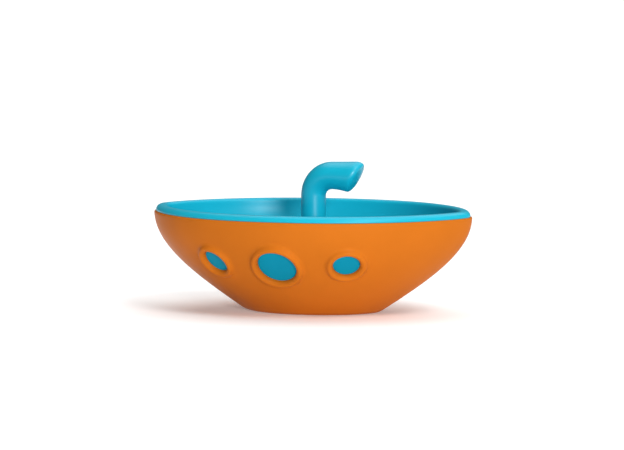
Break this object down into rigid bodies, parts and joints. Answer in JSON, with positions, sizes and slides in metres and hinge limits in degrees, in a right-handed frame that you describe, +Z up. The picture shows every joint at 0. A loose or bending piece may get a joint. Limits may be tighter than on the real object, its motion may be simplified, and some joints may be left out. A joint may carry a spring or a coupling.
{
  "type": "toy boat",
  "caption": "Double-ended toy bath boat: a flat-bottomed flared hull with round windows, an open bowl cabin and a periscope that turns on its mast.",
  "frame": {"origin": "centre of the flat base, on the surface the boat stands on", "axes": "+X towards the bow, the way the periscope looks at rest; +Y to port; +Z up"},
  "size_m": [0.15, 0.108, 0.0681],
  "materials": {
    "hull_plastic": "satin moulded plastic, orange",
    "cabin_plastic": "smooth moulded plastic, turquoise",
    "periscope_plastic": "smooth moulded plastic, turquoise, with a faint seam",
    "window_plastic": "smooth moulded plastic, deep turquoise",
    "seal_rubber": "black rubber ring",
    "fastener_steel": "plain stainless steel"
  },
  "bodies": {
    "hull": {"hull_shell": "hull_plastic", "cabin_liner": "cabin_plastic", "window_aft_starboard": "window_plastic", "window_mid_starboard": "window_plastic", "window_fore_starboard": "window_plastic", "window_aft_port": "window_plastic", "window_mid_port": "window_plastic", "window_fore_port": "window_plastic"},
    "periscope": {"periscope_half_port": "periscope_plastic", "periscope_half_starboard": "periscope_plastic", "periscope_spigot": "periscope_plastic", "spigot_seal": "seal_rubber", "retaining_washer": "fastener_steel", "retaining_screw": "fastener_steel"}
  },
  "joints": [
    {"name": "periscope_turn", "type": "hinge", "parent": "hull", "child": "periscope", "pos_m": [0.0008, 0, 0.018], "axis": [0, 0, 1], "continuous": true}
  ]
}
